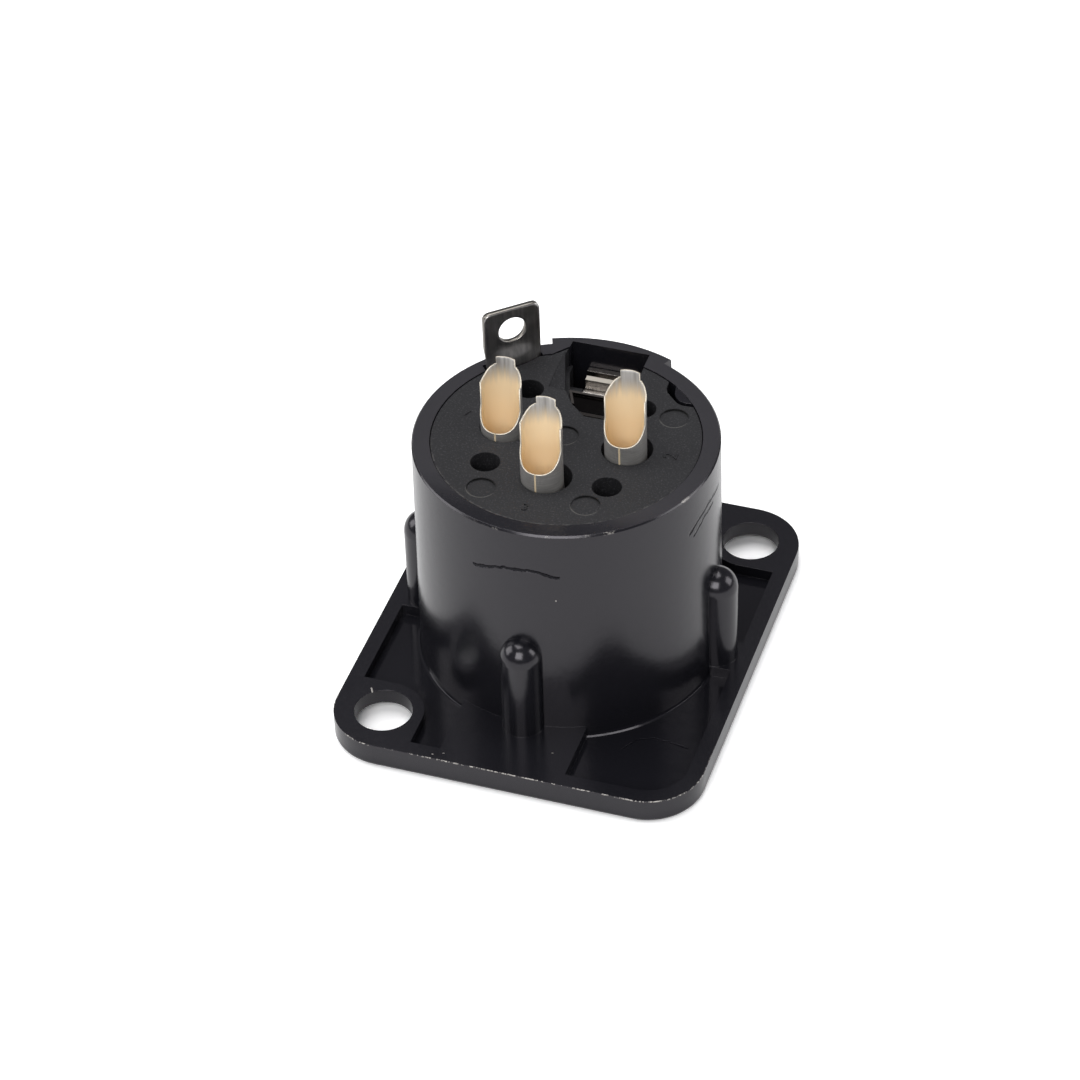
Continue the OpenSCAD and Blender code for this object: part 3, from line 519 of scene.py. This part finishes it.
def lug_plate(materials):
    """The ground lug: rings round the wire hole, its foot drawn down and bowed towards the axis."""
    parts = 128
    plate = bmesh.new()
    bmesh.ops.create_circle(plate, segments=parts, radius=WIRE_HOLE_R)
    inner = sorted(plate.verts, key=lambda v: math.atan2(v.co.y, v.co.x))
    corner = 0.45
    half, up, down = LUG_HALF, LUG_TOP - WIRE_HOLE_Z, WIRE_HOLE_Z - BOW_END

    def outline(angle):
        """Where the ray at this angle from the wire hole meets the plate's outline."""
        c, s = math.cos(angle), math.sin(angle)
        reach = min(half / abs(c) if abs(c) > 1e-9 else 9e9, (up / s if s > 1e-9 else 9e9), (-down / s if s < -1e-9 else 9e9))
        px, py = c * reach, s * reach
        if py > up - corner and abs(px) > half - corner:
            cx, cy = math.copysign(half - corner, px), up - corner
            b = c * cx + s * cy
            reach = b + math.sqrt(max(b * b - (cx * cx + cy * cy - corner * corner), 0))
            px, py = c * reach, s * reach
        return px, py

    targets = [outline(math.atan2(v.co.y, v.co.x)) for v in inner]
    for cx in (-half, half):
        nearest = min(range(parts), key=lambda i: (targets[i][0] - cx) ** 2 + (targets[i][1] + down) ** 2)
        targets[nearest] = (cx, -down)
    ring_count = 8
    start = [(v.co.x, v.co.y) for v in inner]
    index = {v: i for i, v in enumerate(inner)}
    edges = list(plate.edges)
    for ring in range(1, ring_count + 1):
        made = bmesh.ops.extrude_edge_only(plate, edges=edges)["geom"]
        verts = [g for g in made if isinstance(g, bmesh.types.BMVert)]
        edges = [g for g in made if isinstance(g, bmesh.types.BMEdge) and all(v in verts for v in g.verts)]
        fresh = {}
        for v in verts:
            near = min(range(parts), key=lambda i: (start[i][0] - v.co.x) ** 2 + (start[i][1] - v.co.y) ** 2)
            fresh[v] = near
        share_out = ring / ring_count
        hole = [(WIRE_HOLE_R * math.cos(math.atan2(t[1], t[0])), WIRE_HOLE_R * math.sin(math.atan2(t[1], t[0])))
                for t in targets]
        places = [(a[0] + (b[0] - a[0]) * share_out, a[1] + (b[1] - a[1]) * share_out) for a, b in zip(hole, targets)]
        for v, i in fresh.items():
            v.co.x, v.co.y = places[i]
        start = places
    foot = [e for e in edges if all(abs(v.co.y + down) < 1e-6 for v in e.verts)]
    rows = 30
    for _ in range(rows):
        made = bmesh.ops.extrude_edge_only(plate, edges=foot)["geom"]
        verts = {g for g in made if isinstance(g, bmesh.types.BMVert)}
        foot = [g for g in made if isinstance(g, bmesh.types.BMEdge) and all(v in verts for v in g.verts)]
        for v in verts:
            v.co.y -= (BOW_END - SEAT_Z) / rows
    for v in plate.verts:
        side, z = -v.co.x, v.co.y + WIRE_HOLE_Z
        bow = 0.0 if z >= BOW_END else LUG_BOW * (1 - smooth_step(max(z - BOW_TOP, 0) / (BOW_END - BOW_TOP)))
        v.co = Vector((lug_face(side, bow), side, z)) * MM
    bmesh.ops.transform(plate, matrix=Matrix.Rotation(math.radians(LUG_TURN), 4, "Z"), verts=plate.verts)
    bmesh.ops.recalc_face_normals(plate, faces=plate.faces)
    outward = Vector((math.cos(math.radians(LUG_TURN)), math.sin(math.radians(LUG_TURN)), 0))
    plate.faces.ensure_lookup_table()
    if plate.faces[0].normal.dot(outward) > 0:
        bmesh.ops.reverse_faces(plate, faces=plate.faces)
    piece = finished(plate, "plated_lug", materials)
    wall = piece.modifiers.new("sheet", "SOLIDIFY")
    wall.thickness = LUG_T * MM
    wall.offset = -1
    wall.material_offset_rim = 1
    return piece


def raised_digit(text, place, turn, height, material):
    """A small raised number on the insert's rear face."""
    curve = bpy.data.curves.new("digit_" + text, "FONT")
    curve.body = text
    curve.size = height
    curve.extrude = 0.05 * MM
    curve.align_x = "CENTER"
    curve.align_y = "CENTER"
    holder = bpy.data.objects.new("digit_source", curve)
    bpy.context.scene.collection.objects.link(holder)
    bpy.context.view_layer.update()
    mesh = bpy.data.meshes.new_from_object(holder.evaluated_get(bpy.context.evaluated_depsgraph_get()))
    bpy.data.objects.remove(holder)
    mesh.name = "digit_" + text
    mesh.transform(Matrix.Translation(Vector((place[0], place[1], FACE_Z + 0.02)) * MM)
                   @ Matrix.Rotation(math.radians(turn), 4, "Z"))
    mesh.materials.clear()
    mesh.materials.append(material)
    piece = bpy.data.objects.new("digit_" + text, mesh)
    bpy.context.scene.collection.objects.link(piece)
    return piece


class SOCKET_OT_stage(bpy.types.Operator):
    """Floor, lamps, room and camera"""

    bl_idname = "socket.stage"
    bl_label = "Studio stage"

    def execute(self, context):
        studio = context.scene.socket_studio
        table = bmesh.new()
        bmesh.ops.create_grid(table, x_segments=1, y_segments=1, size=1.5)
        bmesh.ops.translate(table, verts=table.verts, vec=(0, 0, -0.01 * MM))
        material, tree, _ = new_material("white_table")
        seen = put(tree, "LightPath").outputs["Is Camera Ray"]
        shade = blended(tree, seen, studio.floor, [c * 1.2 for c in studio.shown[:3]] + [1])
        close(tree, put(tree, "BsdfDiffuse", {"Color": shade}).outputs[0])
        finished(table, "table", [material])

        world = bpy.data.worlds.new("room")
        context.scene.world = world
        world.use_nodes = True
        tree = world.node_tree
        tree.nodes.clear()
        path = put(tree, "LightPath").outputs
        straight = larger(tree, path["Is Camera Ray"], path["Is Transmission Ray"])
        level = mixed(tree, straight, studio.sky, 1.0)
        air = blended(tree, straight, (0.98, 0.97, 1.03, 1), grey(1.0))
        room = put(tree, "Background", {"Color": air, "Strength": level}).outputs[0]
        put(tree, "OutputWorld", {"Surface": room})

        for name, place, size, power in (
            ("overhead", (-0.12, 0.15, 0.7), 0.5, studio.lamp * 0.6),
            ("front", (0.05, -0.55, 0.5), 0.45, studio.lamp * 0.6),
            ("left_fill", (-0.6, -0.1, 0.35), 0.4, studio.lamp * 0.3),
            ("right_fill", (0.6, 0.2, 0.35), 0.4, studio.lamp * 0.3),
        ):
            light = bpy.data.lights.new(name, "AREA")
            light.shape = "SQUARE"
            light.size = size
            light.energy = power
            lamp = bpy.data.objects.new(name, light)
            lamp.location = place
            lamp.rotation_euler = (Vector((0, 0, 0.01)) - Vector(place)).to_track_quat("-Z", "Y").to_euler()
            context.scene.collection.objects.link(lamp)
        self.camera(context, studio)
        view = context.scene.view_settings
        view.view_transform = "Standard"
        return {"FINISHED"}

    @staticmethod
    def camera(context, studio):
        """The photographed view, fitted to the flange, the barrel and the cups."""
        turn, tilt, roll = (math.radians(a) for a in (19.448, 40.503, -1.952))
        back = Vector((math.sin(turn) * math.cos(tilt), -math.cos(turn) * math.cos(tilt), math.sin(tilt)))
        right = Vector((math.cos(turn), math.sin(turn), 0))
        up = back.cross(right)
        across = right * math.cos(roll) + up * math.sin(roll)
        upward = up * math.cos(roll) - right * math.sin(roll)
        data = bpy.data.cameras.new("photo_view")
        data.sensor_width = 36
        data.lens = studio.lens
        data.clip_start = 0.01
        data.clip_end = 10
        eye = bpy.data.objects.new("photo_view", data)
        place = (Vector((-1.7, -1.094, 10.0)) + back * 262.51) * MM
        eye.matrix_world = Matrix.Translation(place) @ Matrix((across, upward, back)).transposed().to_4x4()
        context.scene.collection.objects.link(eye)
        context.scene.camera = eye


class SOCKET_OT_housing(bpy.types.Operator):
    """Black coating of the casting"""

    bl_idname = "socket.housing"
    bl_label = "Housing"

    def execute(self, context):
        dress("housing", coated_zinc(context.scene.socket_coating))
        return {"FINISHED"}


class SOCKET_OT_insert(bpy.types.Operator):
    """Moulded insert and its raised contact numbers"""

    bl_idname = "socket.insert"
    bl_label = "Insert"

    def execute(self, context):
        settings = context.scene.socket_plastic
        plastic = moulded_nylon(settings)
        dress("insert", plastic)
        dress("nose", plastic)
        for text, place, turn, scale in (("1", (-7.13, 0.62), 150, 0.9), ("2", (7.28, 0.09), 90, 1.45), ("3", (-0.36, -7.64), 0, 1.0)):
            ride(raised_digit(text, place, turn, scale * settings.digit, plastic), "socket")
        return {"FINISHED"}


class SOCKET_OT_contacts(bpy.types.Operator):
    """Rolled contacts with their solder cups"""

    bl_idname = "socket.contacts"
    bl_label = "Contacts"

    def execute(self, context):
        settings = context.scene.socket_metal
        metals = [drawn_metal("drawn_tin", settings.tin, settings, 0.42, 0.24, 0.7, drawn=(0.08, 0.08, 1)),
                  cup_inside(settings), cut_edge(settings)]
        for number, centre, lean in ((1, (-CONTACT_R, 0), (-0.22, -0.12)), (2, (CONTACT_R, 0), (-0.04, -0.2)),
                                     (3, (0, -CONTACT_R), (-0.24, -0.15))):
            drop = LEAD_IN if number == 1 else 0
            piece = solder_contact(f"rolled_contact_{number}", centre, lean, drop, metals)
            ride(piece, "socket")
            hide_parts(f"contact_{number}")
        return {"FINISHED"}


class SOCKET_OT_ground_lug(bpy.types.Operator):
    """Bright plated ground lug"""

    bl_idname = "socket.ground_lug"
    bl_label = "Ground lug"

    def execute(self, context):
        settings = context.scene.socket_metal
        piece = lug_plate([plated_lug(settings), drawn_metal("lug_edge", linear("#8d8983"), settings, 0.35)])
        ride(piece, "socket")
        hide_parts("ground_lug")
        return {"FINISHED"}


class SOCKET_OT_latch(bpy.types.Operator):
    """Latch lever, hinge pin and leaf spring"""

    bl_idname = "socket.latch"
    bl_label = "Latch"

    def execute(self, context):
        settings = context.scene.socket_metal
        # The lever's lip top and the leaf spring's top faces get a painted highlight through bright_from and the
        # paler end colour
        dress("latch_lever", drawn_metal("sheet_steel", settings.steel, settings, 0.25, 0.35, 1.0, LIP_TOP - 0.06))
        dress("hinge_pin", drawn_metal("ground_steel", settings.steel, settings, 0.2, 0.1))
        dress("leaf_spring", drawn_metal("spring_strip", linear("#2b2827"), settings, 0.14, 0.3, 1.0, LEAF_Z + 0.36,
                                       "#3f3b39"))
        return {"FINISHED"}


class SOCKET_PT_looks(bpy.types.Panel):
    """Socket looks in the sidebar"""

    bl_label = "Panel socket"
    bl_idname = "SOCKET_PT_looks"
    bl_space_type = "VIEW_3D"
    bl_region_type = "UI"
    bl_category = "Socket"

    def draw(self, context):
        for name in GROUPS:
            box = self.layout.box()
            for setting in getattr(context.scene, name).bl_rna.properties.keys():
                if setting not in ("rna_type", "name"):
                    box.prop(getattr(context.scene, name), setting)
        for operator in OPERATORS:
            self.layout.operator(operator.bl_idname)


GROUPS = {
    "socket_coating": SOCKET_PG_coating,
    "socket_plastic": SOCKET_PG_plastic,
    "socket_metal": SOCKET_PG_metal,
    "socket_studio": SOCKET_PG_studio,
}
OPERATORS = (SOCKET_OT_stage, SOCKET_OT_housing, SOCKET_OT_insert, SOCKET_OT_contacts, SOCKET_OT_ground_lug,
             SOCKET_OT_latch)


def register():
    for part in (*GROUPS.values(), *OPERATORS, SOCKET_PT_looks):
        bpy.utils.register_class(part)
    for name, group in GROUPS.items():
        setattr(bpy.types.Scene, name, bpy.props.PointerProperty(type=group))


def unregister():
    for name in GROUPS:
        delattr(bpy.types.Scene, name)
    for part in reversed((*GROUPS.values(), *OPERATORS, SOCKET_PT_looks)):
        bpy.utils.unregister_class(part)


def main():
    register()
    for operator in OPERATORS:
        family, name = operator.bl_idname.split(".")
        getattr(getattr(bpy.ops, family), name)()


if __name__ == "__main__":
    main()
